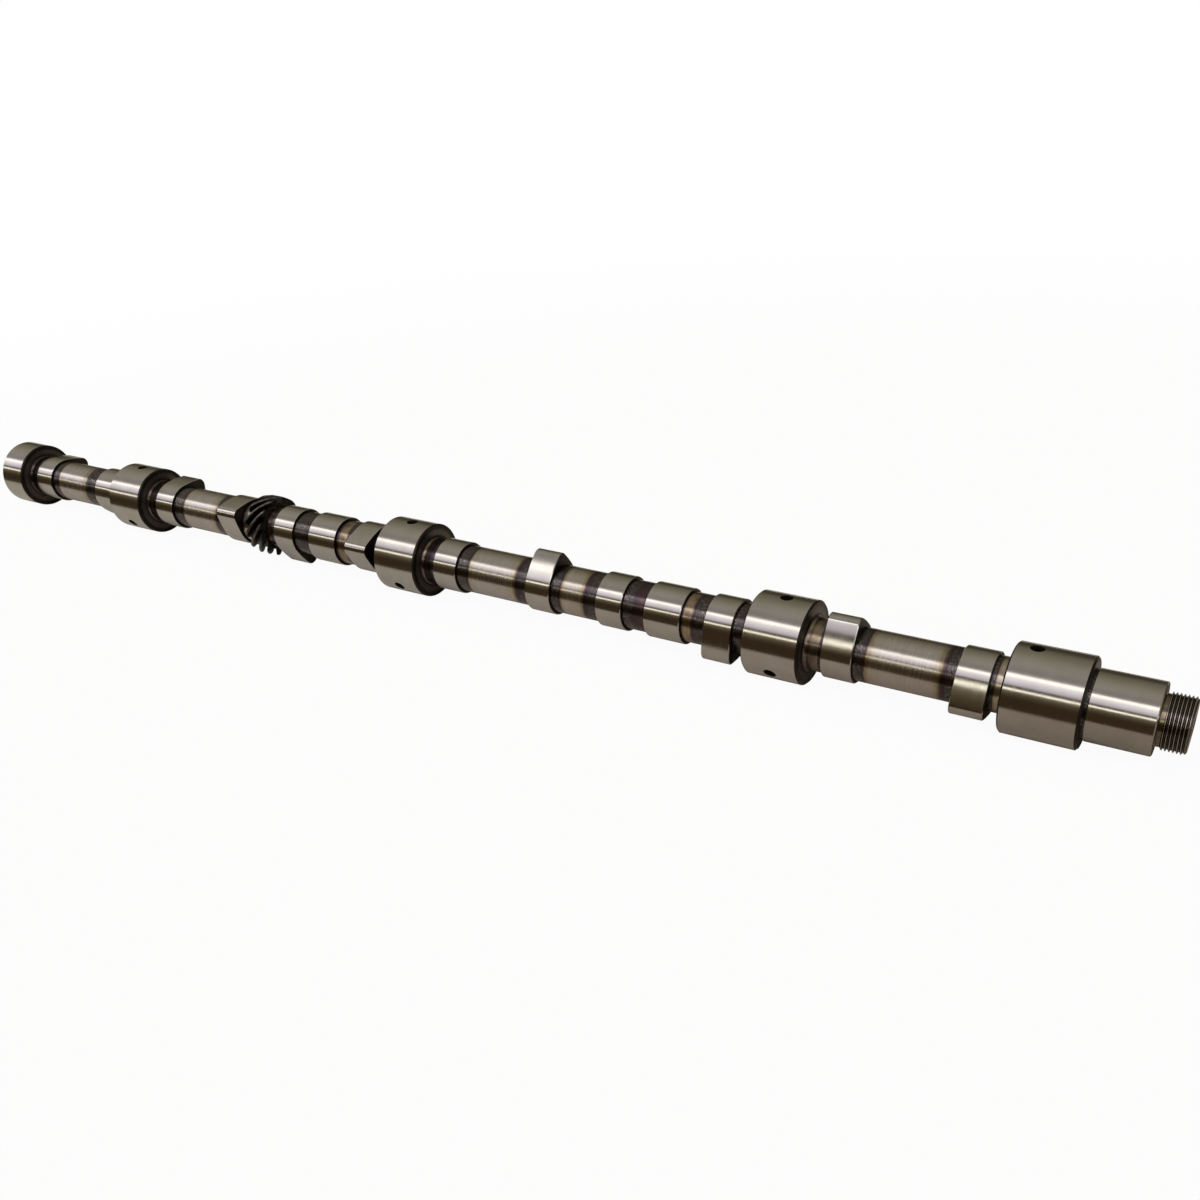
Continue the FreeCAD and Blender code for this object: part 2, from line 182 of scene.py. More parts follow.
def add_node(tree, kind, inputs=(), stops=(), **settings):
    """One shader node, with its settings, its ramp's stops and its inputs' values or links."""
    node = tree.nodes.new("ShaderNode" + kind)
    for name, value in settings.items():
        setattr(node, name, value)
    for i, (place, colour) in enumerate(stops):
        ramp = node.color_ramp.elements
        stop = ramp[i] if i < 2 else ramp.new(place)
        stop.position = place
        stop.color = colour
    for socket, value in dict(inputs).items():
        if isinstance(value, bpy.types.NodeSocket):
            tree.links.new(value, node.inputs[socket])
        else:
            node.inputs[socket].default_value = value
    return node


def new_material(name):
    """An empty material, its node tree, and its Object coordinates in metres and in millimetres."""
    material = bpy.data.materials.new(name)
    material.use_nodes = True
    tree = material.node_tree
    tree.nodes.clear()
    place = add_node(tree, "TexCoord").outputs["Object"]
    in_mm = add_node(tree, "VectorMath", {0: place, "Scale": 1000.0}, operation="SCALE")
    split = add_node(tree, "SeparateXYZ", {0: place})
    # round the shaft, the direction in which every wheel and tool has run over it
    back = add_node(tree, "Math", {0: split.outputs["Z"], 1: -1.0}, operation="MULTIPLY")
    round_it = add_node(tree, "CombineXYZ", {"Y": back.outputs[0], "Z": split.outputs["Y"]})
    return material, tree, in_mm.outputs[0], round_it.outputs[0]


# Ground bearing steel: hardened carbon steel, ground and polished with fine abrasive. It is a
# bright grey with faint rings about 0.8 mm apart, drawn coarser than real so that they show, and
# it keeps reflections sharp round the shaft and smears them along it.
ground_steel, tree, in_mm, round_it = new_material("ground_bearing_steel")
lines_place = add_node(tree, "Mapping", {"Vector": in_mm, "Scale": (1.25, 0.02, 0.02)})
lines = add_node(tree, "TexNoise", {"Vector": lines_place.outputs[0], "Scale": 1.0, "Detail": 3.0})
haze = add_node(tree, "TexNoise", {"Vector": in_mm, "Scale": 0.07, "Detail": 4.0,
                                   "Roughness": 0.6})
mottle = add_node(tree, "TexNoise", {"Vector": in_mm, "Scale": 0.35, "Detail": 2.0})
grey = add_node(tree, "ValToRGB", {"Fac": haze.outputs["Fac"]}, stops=[
    (0.35, hex_colour("#aba8a2")), (0.65, hex_colour("#b2b0ab"))])
polish = add_node(tree, "MapRange", {"Value": lines.outputs["Fac"], "From Min": 0.3,
                                     "From Max": 0.7, "To Min": 0.13, "To Max": 0.19})
ripple = add_node(tree, "Bump", {"Height": mottle.outputs["Fac"], "Strength": 1.0,
                                 "Distance": 0.00001})
scratch = add_node(tree, "Bump", {"Height": lines.outputs["Fac"], "Strength": 1.0,
                                  "Distance": 0.00001, "Normal": ripple.outputs[0]})
shader = add_node(tree, "BsdfPrincipled", {
    "Base Color": grey.outputs[0], "Metallic": 1.0, "Roughness": polish.outputs[0],
    "Anisotropic": 0.7, "Anisotropic Rotation": 0.25, "Tangent": round_it,
    "Normal": scratch.outputs[0]})
add_node(tree, "OutputMaterial", {"Surface": shader.outputs[0]})

# Turned steel: the plain shaft, fine-turned and then heated by the hardening of the lobes. It is
# satin grey where it stayed cool, and beside each lobe it runs through straw, gold, brown and
# purple to dark oxide, out of which specks of bare steel shine. The same stations paint the
# undercut's groove dark, as painted shade.
turned_steel, tree, in_mm, round_it = new_material("turned_and_heat_tinted_steel")
# the tints on each vertex, heat tints and the painted shade in the undercut's groove
shaft_tint_attribute = add_node(tree, "Attribute", attribute_name="tint_and_groove_shade", attribute_type="GEOMETRY")
drift = add_node(tree, "TexNoise", {"Vector": in_mm, "Scale": 0.15, "Detail": 3.0})
specks = add_node(tree, "TexNoise", {"Vector": in_mm, "Scale": 0.9, "Detail": 3.0,
                                     "Roughness": 0.65})
lines_place = add_node(tree, "Mapping", {"Vector": in_mm, "Scale": (1.3, 0.09, 0.09)})
lines = add_node(tree, "TexNoise", {"Vector": lines_place.outputs[0], "Scale": 1.0, "Detail": 3.0})
drifted = add_node(tree, "MapRange", {"Value": drift.outputs["Fac"], "To Min": -0.9, "To Max": 0.9})
drifted_tint = add_node(tree, "Math", {0: shaft_tint_attribute.outputs["Fac"], 1: drifted.outputs[0]}, operation="ADD")
share = add_node(tree, "Math", {0: drifted_tint.outputs[0], 1: 6.0}, operation="DIVIDE")
tint = add_node(tree, "ValToRGB", {"Fac": share.outputs[0]}, stops=[
    (0.0, hex_colour("#292624")), (1.0, hex_colour("#b5b0ab")),
    (0.17, hex_colour("#4d4a48")), (0.33, hex_colour("#463d45")),
    (0.42, hex_colour("#554645")), (0.50, hex_colour("#675b52")),
    (0.55, hex_colour("#7a7064")), (0.61, hex_colour("#9a8b70")),
    (0.70, hex_colour("#979080")), (0.84, hex_colour("#aea797"))])
oxidised = add_node(tree, "MapRange", {"Value": share.outputs[0], "From Min": 0.28,
                                       "From Max": 0.12, "To Min": 0.0, "To Max": 1.0})
bare = add_node(tree, "MapRange", {"Value": specks.outputs["Fac"], "From Min": 0.50,
                                   "From Max": 0.62, "To Max": 0.5})
shining = add_node(tree, "Math", {0: oxidised.outputs[0], 1: bare.outputs[0]},
                   operation="MULTIPLY")
flecked = add_node(tree, "Mix", {0: shining.outputs[0], 6: tint.outputs[0],
                                 7: hex_colour("#9c9894")}, data_type="RGBA")
grooves = add_node(tree, "MapRange", {"Value": lines.outputs["Fac"], "From Min": 0.58,
                                      "From Max": 0.42, "To Max": 0.22})
grooved = add_node(tree, "Mix", {0: grooves.outputs[0], 6: flecked.outputs[2],
                                 7: hex_colour("#c4c0bc")}, data_type="RGBA",
                   blend_type="MULTIPLY")
streaks = add_node(tree, "MapRange", {"Value": lines.outputs["Fac"], "From Min": 0.3,
                                      "From Max": 0.7, "To Min": 0.20, "To Max": 0.28})
grain = add_node(tree, "Bump", {"Height": specks.outputs["Fac"], "Distance": 0.00002})
tool_marks = add_node(tree, "Bump", {"Height": lines.outputs["Fac"], "Distance": 0.000008,
                                     "Normal": grain.outputs[0]})
shader = add_node(tree, "BsdfPrincipled", {
    "Base Color": grooved.outputs[2], "Metallic": 1.0, "Roughness": streaks.outputs[0],
    "Anisotropic": 0.6, "Anisotropic Rotation": 0.25, "Tangent": round_it,
    "Normal": tool_marks.outputs[0]})
add_node(tree, "OutputMaterial", {"Surface": shader.outputs[0]})

# Oxidised faces: the sides of the lobes, rings and gear, faced on the lathe and never ground. The
# hardening left them near black, with rings from the facing tool about 0.7 mm apart.
rings_to_a_metre = 1400.0
black_faces, tree, in_mm, round_it = new_material("faced_and_oxidised_steel")
from_axis = add_node(tree, "VectorMath", {0: round_it}, operation="LENGTH")
rings_place = add_node(tree, "Math", {0: from_axis.outputs["Value"], 1: rings_to_a_metre},
                       operation="MULTIPLY")
facing = add_node(tree, "TexNoise", {"W": rings_place.outputs[0], "Scale": 1.0, "Detail": 2.0},
                  noise_dimensions="1D")
cloud = add_node(tree, "TexNoise", {"Vector": in_mm, "Scale": 0.2, "Detail": 4.0})
shade = add_node(tree, "ValToRGB", {"Fac": cloud.outputs["Fac"]}, stops=[
    (0.3, hex_colour("#2b2825")), (0.7, hex_colour("#3a3531"))])
facing_marks = add_node(tree, "Bump", {"Height": facing.outputs["Fac"], "Distance": 0.00003})
shader = add_node(tree, "BsdfPrincipled", {
    "Base Color": shade.outputs[0], "Metallic": 1.0, "Roughness": 0.45,
    "Anisotropic": 0.4, "Anisotropic Rotation": 0.25, "Tangent": round_it,
    "Normal": facing_marks.outputs[0]})
add_node(tree, "OutputMaterial", {"Surface": shader.outputs[0]})

# Journal sides: steel faced in the same way. Only their outer 3 mm went black, and nearer to the
# axis they stayed grey.
journal_side, tree, in_mm, round_it = new_material("faced_journal_side_steel")
from_axis = add_node(tree, "VectorMath", {0: round_it}, operation="LENGTH")
rings_place = add_node(tree, "Math", {0: from_axis.outputs["Value"], 1: rings_to_a_metre},
                       operation="MULTIPLY")
facing = add_node(tree, "TexNoise", {"W": rings_place.outputs[0], "Scale": 1.0, "Detail": 2.0},
                  noise_dimensions="1D")
cloud = add_node(tree, "TexNoise", {"Vector": in_mm, "Scale": 0.2, "Detail": 4.0})
wander = add_node(tree, "MapRange", {"Value": cloud.outputs["Fac"], "To Min": -0.001,
                                     "To Max": 0.001})
out = add_node(tree, "Math", {0: from_axis.outputs["Value"], 1: wander.outputs[0]},
               operation="ADD")
blackened = add_node(tree, "MapRange", {"Value": out.outputs[0], "From Min": 0.0225,
                                        "From Max": 0.0248})
shade = add_node(tree, "ValToRGB", {"Fac": blackened.outputs[0]}, stops=[
    (0.0, hex_colour("#5a554e")), (1.0, hex_colour("#2b2825"))])
facing_marks = add_node(tree, "Bump", {"Height": facing.outputs["Fac"], "Distance": 0.00003})
shader = add_node(tree, "BsdfPrincipled", {
    "Base Color": shade.outputs[0], "Metallic": 1.0, "Roughness": 0.4,
    "Anisotropic": 0.4, "Anisotropic Rotation": 0.25, "Tangent": round_it,
    "Normal": facing_marks.outputs[0]})
add_node(tree, "OutputMaterial", {"Surface": shader.outputs[0]})

# Cut thread: its colour runs from dark in the roots to bright on the crests, which paints the
# shade in the thread's grooves. Distances from the axis are in metres.
cut_thread, tree, in_mm, round_it = new_material("cut_thread_steel")
from_axis = add_node(tree, "VectorMath", {0: round_it}, operation="LENGTH")
crests = add_node(tree, "MapRange", {"Value": from_axis.outputs["Value"],
                                     "From Min": 0.0153, "From Max": 0.0165})
# painted shade: dark in the roots, bright on the crests
shade = add_node(tree, "ValToRGB", {"Fac": crests.outputs[0]}, stops=[
    (0.0, hex_colour("#4a453f")), (1.0, hex_colour("#b2aea7")), (0.6, hex_colour("#7d776e"))])
grit = add_node(tree, "TexNoise", {"Vector": in_mm, "Scale": 2.0, "Detail": 3.0})
burrs = add_node(tree, "Bump", {"Height": grit.outputs["Fac"], "Distance": 0.00002})
shader = add_node(tree, "BsdfPrincipled", {
    "Base Color": shade.outputs[0], "Metallic": 1.0, "Roughness": 0.24,
    "Normal": burrs.outputs[0]})
add_node(tree, "OutputMaterial", {"Surface": shader.outputs[0]})

# Drilled bore: the oil holes and lathe centres, their walls painted dark as painted shade inside
# the holes.
shaded_bore, tree, in_mm, _ = new_material("drilled_bore_painted_dark")
bore_mottle = add_node(tree, "TexNoise", {"Vector": in_mm, "Scale": 0.6, "Detail": 3.0})
# painted shade: the bore walls are near black
shade = add_node(tree, "ValToRGB", {"Fac": bore_mottle.outputs["Fac"]}, stops=[
    (0.35, hex_colour("#211b15")), (0.65, hex_colour("#3d342a"))])
drill_marks = add_node(tree, "Bump", {"Height": bore_mottle.outputs["Fac"], "Distance": 0.00005})
shader = add_node(tree, "BsdfPrincipled", {
    "Base Color": shade.outputs[0], "Metallic": 0.8, "Roughness": 0.4,
    "Normal": drill_marks.outputs[0]})
add_node(tree, "OutputMaterial", {"Surface": shader.outputs[0]})


def creased(mesh_in_work, degrees, keep_soft=lambda edge: False):
    """Faces outwards and smooth, with the edges sharper than that angle left crisp."""
    bmesh.ops.recalc_face_normals(mesh_in_work, faces=mesh_in_work.faces)
    for face in mesh_in_work.faces:
        face.smooth = True
    for edge in mesh_in_work.edges:
        edge.smooth = keep_soft(edge) or edge.calc_face_angle(0.0) < math.radians(degrees)


def as_piece(mesh_in_work, name, materials):
    """The finished mesh as an object in metres that stands for the solid."""
    bmesh.ops.scale(mesh_in_work, vec=(0.001, 0.001, 0.001), verts=mesh_in_work.verts)
    mesh = bpy.data.meshes.new(name)
    mesh_in_work.to_mesh(mesh)
    mesh_in_work.free()
    for material in materials:
        mesh.materials.append(material)
    piece = bpy.data.objects.new(name, mesh)
    bpy.context.scene.collection.objects.link(piece)
    return piece


def on_the_shaft(piece):
    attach(piece, "root")
    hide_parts("camshaft")


shaft_steels = [ground_steel, turned_steel, black_faces, cut_thread, shaded_bore, journal_side]
turning = bmesh.new()
stations = [turning.verts.new((x, 0.0, radius)) for x, radius in outline]
runs = [turning.edges.new(pair) for pair in zip(stations, stations[1:])]
bmesh.ops.spin(turning, geom=stations + runs, cent=(0, 0, 0), axis=(1, 0, 0), dvec=(0, 0, 0),
               angle=math.radians(360), steps=facets_round, use_merge=True,
               use_normal_flip=False, use_duplicate=False)
bmesh.ops.remove_doubles(turning, verts=turning.verts, dist=same_place)
tint_layer = turning.verts.layers.float.new("tint_and_groove_shade")
for vert in turning.verts:
    x, radius = vert.co.x, math.hypot(vert.co.y, vert.co.z)
    vert[tint_layer] = tint_at(x)
    if x > thread_rear - 0.01 and radius > 14:
        cut = thread_at(x, math.degrees(math.atan2(vert.co.z, vert.co.y)))
        vert.co.y *= cut / radius
        vert.co.z *= cut / radius
for face in turning.faces:
    middle = face.calc_center_median()
    x, radius = middle.x, math.hypot(middle.y, middle.z)
    across = abs(face.normal.x) > 0.9
    at_the_tip = across and x > drive_end - 0.01
    black_rim = abs(face.normal.x) > 0.3 and radius > journal_radius - 1.5
    on_the_seat = seat_radius - 0.9 < radius < seat_radius + 0.1 and x > 23.9
    on_a_ring = ring_radius - 0.6 < radius < ring_radius + 0.1 and any(
        rear < x < front for rear, front in rings)
    if x > thread_rear - 0.5 and radius > relief_radius - 0.2 and not at_the_tip:
        steel = cut_thread
    elif radius < 6.1:
        steel = shaded_bore
    elif across and radius > 20.5 and x < 22.5:
        steel = journal_side
    elif across and radius > shaft_radius + 0.2 or black_rim:
        steel = black_faces
    elif radius > journal_radius - 1.5 or on_the_seat or on_a_ring:
        steel = ground_steel
    else:
        steel = turned_steel
    face.material_index = shaft_steels.index(steel)
creased(turning, 20, lambda edge: all(v.co.x > thread_rear + 0.05 and v.co.x < drive_end - 0.05
                                      and v.co.yz.length > 14 for v in edge.verts))
shaft = as_piece(turning, "turned_shaft", shaft_steels)

# The oil holes are drilled after turning: one straight up and one at 215 degrees in the three
# middle journals, and in the front journal one up and one on the far side. A keyway for the
# timing gear is milled in the seat on the far side. The cutters are taken away again below.

drill_radius, past_axis, drill_facets = 4.0, 3.0, 40


def oil_drill(drills, x, turn):
    """A drill that breaks the rim, from outside the journal to a little past the axis."""
    half_section = [(0.0, -past_axis), (drill_radius, -past_axis), (drill_radius, 27.2),
                    (drill_radius + 0.9, 28.1), (0.0, 28.1)]
    points = [drills.verts.new((radius, 0.0, height)) for radius, height in half_section]
    sides = [drills.edges.new(pair) for pair in zip(points, points[1:])]
    made = bmesh.ops.spin(drills, geom=points + sides, cent=(0, 0, 0), axis=(0, 0, 1),
                          dvec=(0, 0, 0), angle=math.radians(360), steps=drill_facets,
                          use_merge=True, use_normal_flip=False, use_duplicate=False)
    near = [v for v in drills.verts if not v.tag]
    bmesh.ops.rotate(drills, cent=(0, 0, 0), verts=near,
                     matrix=Matrix.Rotation(math.radians(turn - 90), 3, "X"))
    bmesh.ops.translate(drills, vec=(x, 0, 0), verts=near)
    for vert in near:
        vert.tag = True


first_drills, second_drills = bmesh.new(), bmesh.new()
for x, turn in [(-10.0, 90.0), (-163.0, 90.0), (-465.5, 90.0), (-768.0, 90.0)]:
    oil_drill(first_drills, x, turn)
for x, turn in [(-10.0, -35.0), (-163.0, 215.0), (-465.5, 215.0), (-768.0, 215.0)]:
    oil_drill(second_drills, x, turn)

key_wide, key_floor, key_rear, key_turn = 8.0, 17.3, 33.5, -30.0
cutter_long, cutter_high = 30.0, 8.0  # enough to come out of the seat in front and above
slot_end = bmesh.ops.create_circle(first_drills, cap_ends=True, segments=48,
                                   radius=key_wide / 2)["verts"]
for vert in slot_end:
    vert.co.x += key_rear + key_wide / 2 + (cutter_long if vert.co.x > 0.01 else 0.0)
    vert.co.z = key_floor
slot_face = {face for vert in slot_end for face in vert.link_faces}
raised = bmesh.ops.extrude_face_region(first_drills, geom=list(slot_face))["geom"]
raised_verts = [v for v in raised if isinstance(v, bmesh.types.BMVert)]
bmesh.ops.translate(first_drills, vec=(0, 0, cutter_high), verts=raised_verts)
bmesh.ops.rotate(first_drills, cent=(0, 0, 0), verts=slot_end + raised_verts,
                 matrix=Matrix.Rotation(math.radians(key_turn - 90), 3, "X"))

for drills, name in [(first_drills, "first_cutters"), (second_drills, "second_cutters")]:
    bmesh.ops.remove_doubles(drills, verts=drills.verts, dist=same_place)
    creased(drills, 30)
    for face in drills.faces:
        in_a_journal = face.calc_center_median().x < key_rear
        face.material_index = shaft_steels.index(shaded_bore if in_a_journal else turned_steel)
    cutter = as_piece(drills, name, shaft_steels)
    cut = shaft.modifiers.new(name, "BOOLEAN")
    cut.operation, cut.solver, cut.object = "DIFFERENCE", "EXACT", cutter
cut_mesh = bpy.data.meshes.new_from_object(
    shaft.evaluated_get(bpy.context.evaluated_depsgraph_get()))
shaft.modifiers.clear()
# where two finishes meet, an edge of over 12 degrees stays crisp
edged = bmesh.new()
edged.from_mesh(cut_mesh)
for edge in edged.edges:
    if len({face.material_index for face in edge.link_faces}) == 2:
        edge.smooth = edge.calc_face_angle(0.0) < math.radians(12)
edged.to_mesh(cut_mesh)
edged.free()
shaft.data = cut_mesh
shaft.data.name = "turned_shaft"
for name in ("first_cutters", "second_cutters"):
    bpy.data.objects.remove(bpy.data.objects[name])
on_the_shaft(shaft)

# The valve lobes
# Twelve cams, an exhaust and an intake lobe for each cylinder, part of the same forging. Each has
# a base circle of 38 mm and a nose of 6.5 mm radius that reaches 26.2 mm from the axis. They are
# ground to shape with the wheel running round the cam, and their sides are left dark.


def towards(degrees):
    """The way that a face looks which is turned by so many degrees from the nose's direction."""
    return Vector((math.cos(math.radians(degrees)), math.sin(math.radians(degrees))))


# Half of a cam is four arcs that meet smoothly: the base circle, a gentle ramp, a flank and the
# nose. The flank touches the ramp and the nose.
base_radius, ramp_radius, flank_radius = 19.0, 21.5, 85.0
nose_radius, nose_out, ramp_end = 6.5, 19.7, 80.0
all_round = 180.001  # a hair over half a turn, so that every direction finds its arc
cam_facets, rim_chamfer = 200, 0.5
ramp_centre = (base_radius - ramp_radius) * towards(ramp_end)
to_nose = Vector((nose_out, 0)) - ramp_centre
from_ramp, from_nose = flank_radius - ramp_radius, flank_radius - nose_radius
lean = math.acos((from_ramp ** 2 + to_nose.length_squared - from_nose ** 2)
                 / (2 * from_ramp * to_nose.length))
flank_centre = ramp_centre + Matrix.Rotation(-lean, 2) @ to_nose.normalized() * from_ramp
to_flank, to_tip = ramp_centre - flank_centre, Vector((nose_out, 0)) - flank_centre
cam_arcs = [  # where each arc ends, its centre and its radius
    (math.degrees(math.atan2(to_tip.y, to_tip.x)), Vector((nose_out, 0)), nose_radius),
    (math.degrees(math.atan2(to_flank.y, to_flank.x)), flank_centre, flank_radius),
    (ramp_end, ramp_centre, ramp_radius), (all_round, Vector((0, 0)), base_radius)]


def cam_at(degrees):
    """The point of the cam's outline that faces this way, from the nose's direction."""
    centre, radius = next(arc[1:] for arc in cam_arcs if abs(degrees) <= arc[0])
    if degrees < 0:
        centre = Vector((centre.x, -centre.y))
    return centre + radius * towards(degrees)


grinding = bmesh.new()
for middle, turn in lobes:
    rear_x = middle - lobe_width / 2
    cam = bmesh.ops.create_circle(grinding, cap_ends=True, segments=cam_facets,
                                  radius=1.0)["verts"]
    for vert in cam:
        point = cam_at(math.degrees(math.atan2(vert.co.y, vert.co.x)))
        point = Matrix.Rotation(math.radians(turn), 2) @ point
        vert.co = (rear_x, point.x, point.y)
    cam_face = {face for vert in cam for face in vert.link_faces}
    drawn = bmesh.ops.extrude_face_region(grinding, geom=list(cam_face))["geom"]
    bmesh.ops.translate(grinding, vec=(lobe_width, 0, 0),
                        verts=[v for v in drawn if isinstance(v, bmesh.types.BMVert)])
rims = [edge for edge in grinding.edges if abs(edge.verts[0].co.x - edge.verts[1].co.x) < 0.01]
bmesh.ops.bevel(grinding, geom=rims, offset=rim_chamfer, offset_type="OFFSET", segments=1,
                profile=0.5, affect="EDGES", material=-1)
bmesh.ops.recalc_face_normals(grinding, faces=grinding.faces)
for face in grinding.faces:
    face.material_index = 1 if abs(face.normal.x) > 0.9 else 0
creased(grinding, 20)
on_the_shaft(as_piece(grinding, "valve_lobes", [ground_steel, black_faces]))

# The pump gear
# The skew gear that drives the oil pump is hobbed in the same forging: twelve left-hand teeth with
# a lead of 108.4 mm, rounded at the tips and blackened by the hardening and by oil.

gear_rear, gear_front, gear_teeth, gear_lead = -625.0, -607.0, 12, 108.4
tip_radius, root_radius, gear_turn, gear_slices = 23.94, 18.87, 7.0, 60
tip_flat, tooth_flank = 0.20, 0.52  # shares of the way from a tip to a root
tip_crown, crown_reach = 0.35, 0.3
tooth_end, end_drop = 3.0, 2.2  # the last 3 mm of a tooth fall off by 2.2 mm

# Phosphated gear steel: near black, with a soft oily sheen that shows on the teeth.
gear_steel, tree, in_mm, round_it = new_material("phosphated_gear_steel")
from_axis = add_node(tree, "VectorMath", {0: round_it}, operation="LENGTH")
worn = add_node(tree, "MapRange", {"Value": from_axis.outputs["Value"],
                                   "From Min": 0.0226, "From Max": 0.0239})
patches = add_node(tree, "TexNoise", {"Vector": in_mm, "Scale": 0.35, "Detail": 4.0})
wear = add_node(tree, "Math", {0: worn.outputs[0], 1: patches.outputs["Fac"]},
                operation="MULTIPLY")
shade = add_node(tree, "ValToRGB", {"Fac": wear.outputs[0]}, stops=[
    (0.1, hex_colour("#211f1e")), (0.6, hex_colour("#67635f"))])
crystals = add_node(tree, "TexNoise", {"Vector": in_mm, "Scale": 1.6, "Detail": 3.0})
coating = add_node(tree, "Bump", {"Height": crystals.outputs["Fac"], "Distance": 0.00004})
shader = add_node(tree, "BsdfPrincipled", {
    "Base Color": shade.outputs[0], "Metallic": 1.0, "Roughness": 0.36,
    "Normal": coating.outputs[0]})
add_node(tree, "OutputMaterial", {"Surface": shader.outputs[0]})


def tooth_at(turn):
    """Radius of the gear's section at a turn in degrees: flat roots, rounded tips."""
    pitch = 360 / gear_teeth
    from_tip = abs((turn + pitch / 2) % pitch - pitch / 2) / (pitch / 2)
    down = min(max((from_tip - tip_flat) / tooth_flank, 0.0), 1.0)
    flank = down * down * (3 - 2 * down)
    crown = tip_crown * min(from_tip / crown_reach, 1.0) ** 2
    return max(tip_radius - (tip_radius - root_radius) * flank - crown * (1 - flank), root_radius)


hobbing = bmesh.new()
gear_length = gear_front - gear_rear
gear_twist = -360 * gear_length / gear_lead
blank = bmesh.ops.create_circle(hobbing, cap_ends=True, segments=gear_teeth * 20,
                                radius=1.0)["verts"]
for vert in blank:
    turn = math.degrees(math.atan2(vert.co.y, vert.co.x))
    radius = tooth_at(turn - gear_turn + gear_twist / 2)
    vert.co = (gear_rear, radius * vert.co.x, radius * vert.co.y)
blank_face = list({face for vert in blank for face in vert.link_faces})
bmesh.ops.spin(hobbing, geom=blank_face, cent=(0, 0, 0), axis=(1, 0, 0),
               dvec=(gear_length / gear_slices, 0, 0), angle=math.radians(gear_twist),
               steps=gear_slices, use_merge=False, use_normal_flip=False, use_duplicate=False)
for vert in hobbing.verts:
    inside = min(vert.co.x - gear_rear, gear_front - vert.co.x)
    radius = math.hypot(vert.co.y, vert.co.z)
    short = max(1 - max(inside, 0.0) / tooth_end, 0.0)
    highest = tip_radius - end_drop * (1 - math.sqrt(1 - short ** 2))
    if radius > highest:
        vert.co.y *= highest / radius
        vert.co.z *= highest / radius
bmesh.ops.recalc_face_normals(hobbing, faces=hobbing.faces)
for face in hobbing.faces:
    face.material_index = 1 if abs(face.normal.x) > 0.97 else 0
creased(hobbing, 45)
on_the_shaft(as_piece(hobbing, "pump_gear", [gear_steel, black_faces]))

# Floor, light and camera
# The shaft lies on a pale sheet. A long soft box hangs in front of it and a thin strip shows
# under that, the ceiling and the wall behind are dim, and the room in front is dark. Every light
# runs along the shaft, so each ground land shows the same bands.

half_the_floor = 6000.0
floor_mesh = bmesh.new()
bmesh.ops.create_grid(floor_mesh, x_segments=2, y_segments=2, size=half_the_floor)
bmesh.ops.translate(floor_mesh, vec=(0, 0, -journal_radius), verts=floor_mesh.verts)
floor = as_piece(floor_mesh, "floor", [])

# Paper: warm white, painted greyer towards the drive end as painted shade, which the steel
# reflects. The camera sees it near white with the shaft's shadow; the steel sees its own light,
# and beyond the sheet's front edge a painted reflection of the dark room. Distances are in metres.
paper = bpy.data.materials.new("paper_sheet")
paper.use_nodes = True
tree = paper.node_tree
tree.nodes.clear()
rays = add_node(tree, "LightPath")
place = add_node(tree, "TexCoord").outputs["Object"]
split = add_node(tree, "SeparateXYZ", {0: place})
along = add_node(tree, "MapRange", {"Value": split.outputs["X"], "From Min": -0.8,
                                    "From Max": 0.05})
# painted shade: the paper's colour greys from the rear end towards the drive end
sheet_colour_and_shade = add_node(tree, "ValToRGB", {"Fac": along.outputs[0]}, stops=[
    (0.0, hex_colour("#f1ece3")), (1.0, hex_colour("#c2b8aa")),
    (0.39, hex_colour("#e8e4da")), (0.75, hex_colour("#dbd1c6"))])
lit = add_node(tree, "BsdfDiffuse", {"Color": sheet_colour_and_shade.outputs[0]})
seen = add_node(tree, "BsdfDiffuse", {"Color": hex_colour("#f8f8f8")})
white = add_node(tree, "Emission", {"Color": hex_colour("#ffffff"), "Strength": 1.0})
far = add_node(tree, "VectorMath", {0: place}, operation="LENGTH")
shadowless = add_node(tree, "MapRange", {"Value": far.outputs["Value"], "From Min": 1.0,
                                         "From Max": 2.0, "To Min": 0.95, "To Max": 1.0})
pale = add_node(tree, "MixShader", {0: shadowless.outputs[0], 1: seen.outputs[0],
                                    2: white.outputs[0]})
# painted reflection: beyond the sheet's front edge a dim brown glow, seen only by glossy rays,
# stands in for the dark room
painted_room_reflection = add_node(tree, "Emission", {"Color": hex_colour("#4a3a29"), "Strength": 1.0})
edge = add_node(tree, "MapRange", {"Value": split.outputs["Y"], "From Min": -0.088,
                                   "From Max": -0.070, "To Min": 1.0, "To Max": 0.0})
glossy_edge = add_node(tree, "Math", {0: edge.outputs[0], 1: rays.outputs["Is Glossy Ray"]},
                       operation="MULTIPLY")
sheet = add_node(tree, "MixShader", {0: glossy_edge.outputs[0], 1: lit.outputs[0],
                                     2: painted_room_reflection.outputs[0]})
shown = add_node(tree, "MixShader", {0: rays.outputs["Is Camera Ray"], 1: sheet.outputs[0],
                                     2: pale.outputs[0]})
add_node(tree, "OutputMaterial", {"Surface": shown.outputs[0]})
floor.data.materials.append(paper)

